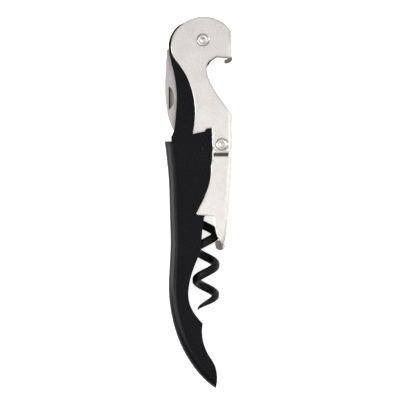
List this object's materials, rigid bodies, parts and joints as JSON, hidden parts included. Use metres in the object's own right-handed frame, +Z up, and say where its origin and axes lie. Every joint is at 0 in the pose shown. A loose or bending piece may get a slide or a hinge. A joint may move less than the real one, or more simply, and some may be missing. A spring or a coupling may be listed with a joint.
{
  "type": "lever corkscrew",
  "caption": "Folding waiter's corkscrew: black channel handle, satin metal two-stage lever with cap lifter, coiled worm and serrated foil blade.",
  "frame": {"origin": "middle of the underside of the bounding box, with the closed tool lying flat on its side", "axes": "+Y along the tool towards the head, +X across it towards the lever's spine, +Z up through the thickness"},
  "size_m": [0.022, 0.1199, 0.014],
  "materials": {
    "black_coat": "matte black powder coat with a slight sheen on the bends",
    "satin_nickel": "satin nickel plate on pressed steel",
    "blade_steel": "ground stainless steel",
    "worm_coat": "black non-stick coating with a low gloss",
    "rivet_steel": "nickel plated rivet",
    "spring_steel": "plain spring steel",
    "shim_brass": "dull brass shim"
  },
  "bodies": {
    "handle": {"handle_channel": "black_coat", "head_rivet": "rivet_steel", "blade_spacer_front": "spring_steel", "blade_spacer_back": "spring_steel", "blade_stop_pin": "black_coat", "blade_spring": "spring_steel", "spring_pins": "black_coat", "worm_pin": "black_coat", "worm_spacer_front": "spring_steel", "worm_spacer_back": "spring_steel", "lever_washer_front": "shim_brass", "lever_washer_back": "shim_brass"},
    "lever": {"upper_lever": "satin_nickel", "joint_rivet": "rivet_steel", "joint_spacer": "rivet_steel"},
    "foot": {"lower_lever": "satin_nickel"},
    "blade": {"foil_blade": "blade_steel"},
    "worm": {"worm_screw": "worm_coat", "worm_hub": "worm_coat"}
  },
  "joints": [
    {"name": "lever_hinge", "type": "hinge", "parent": "handle", "child": "lever", "pos_m": [0.00135, 0.05245, 0.007], "axis": [0, 0, 1], "range_deg": [0, 100]},
    {"name": "foot_hinge", "type": "hinge", "parent": "lever", "child": "foot", "pos_m": [0.0075, 0.01885, 0.007], "axis": [0, 0, 1], "range_deg": [0, 90]},
    {"name": "blade_hinge", "type": "hinge", "parent": "handle", "child": "blade", "pos_m": [0.00135, 0.05245, 0.007], "axis": [0, 0, -1], "range_deg": [0, 100]},
    {"name": "worm_hinge", "type": "hinge", "parent": "handle", "child": "worm", "pos_m": [0.00235, 0.01745, 0.007], "axis": [0, 0, 1], "range_deg": [0, 90]}
  ],
  "couplings": [
    {"joint": "worm_hinge", "follows": "lever_hinge", "ratio": 0.9}
  ]
}
